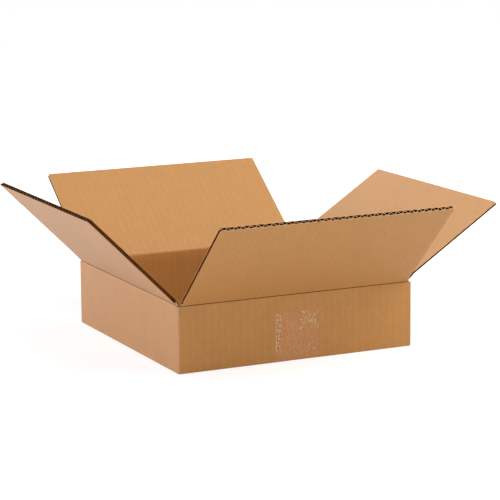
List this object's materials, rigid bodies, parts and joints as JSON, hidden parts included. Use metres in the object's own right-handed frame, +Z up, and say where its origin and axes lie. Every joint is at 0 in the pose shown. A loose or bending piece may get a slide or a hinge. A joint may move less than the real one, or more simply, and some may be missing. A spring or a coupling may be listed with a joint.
{
  "type": "corrugated cardboard box",
  "caption": "Low square corrugated shipping carton standing open, with its hinged top flaps spread outward and its folded bottom taped shut.",
  "frame": {"origin": "middle of the underside, on the plane that the carton stands on", "axes": "+X to the right along the front wall, +Y to the back wall, +Z up"},
  "size_m": [0.4587, 0.4604, 0.1624],
  "materials": {
    "kraft_board": "matte kraft liner with faint flute lines",
    "clear_tape": "clear film tape, pressed on with small air bubbles"
  },
  "bodies": {
    "carton": {"box_body": "kraft_board", "bottom_tape": "clear_tape"},
    "front_flap": {"front_flap": "kraft_board"},
    "back_flap": {"back_flap": "kraft_board"},
    "left_flap": {"left_flap": "kraft_board"},
    "right_flap": {"right_flap": "kraft_board"}
  },
  "joints": [
    {"name": "front_crease", "type": "hinge", "parent": "carton", "child": "front_flap", "pos_m": [0, -0.131, 0.068], "axis": [1, 0, 0], "range_deg": [-136, 74]},
    {"name": "back_crease", "type": "hinge", "parent": "carton", "child": "back_flap", "pos_m": [0, 0.131, 0.068], "axis": [-1, 0, 0], "range_deg": [-143.5, 66.5]},
    {"name": "left_crease", "type": "hinge", "parent": "carton", "child": "left_flap", "pos_m": [-0.129, 0, 0.0703], "axis": [0, -1, 0], "range_deg": [-135, 75]},
    {"name": "right_crease", "type": "hinge", "parent": "carton", "child": "right_flap", "pos_m": [0.129, 0, 0.0703], "axis": [0, 1, 0], "range_deg": [-147, 63]}
  ]
}
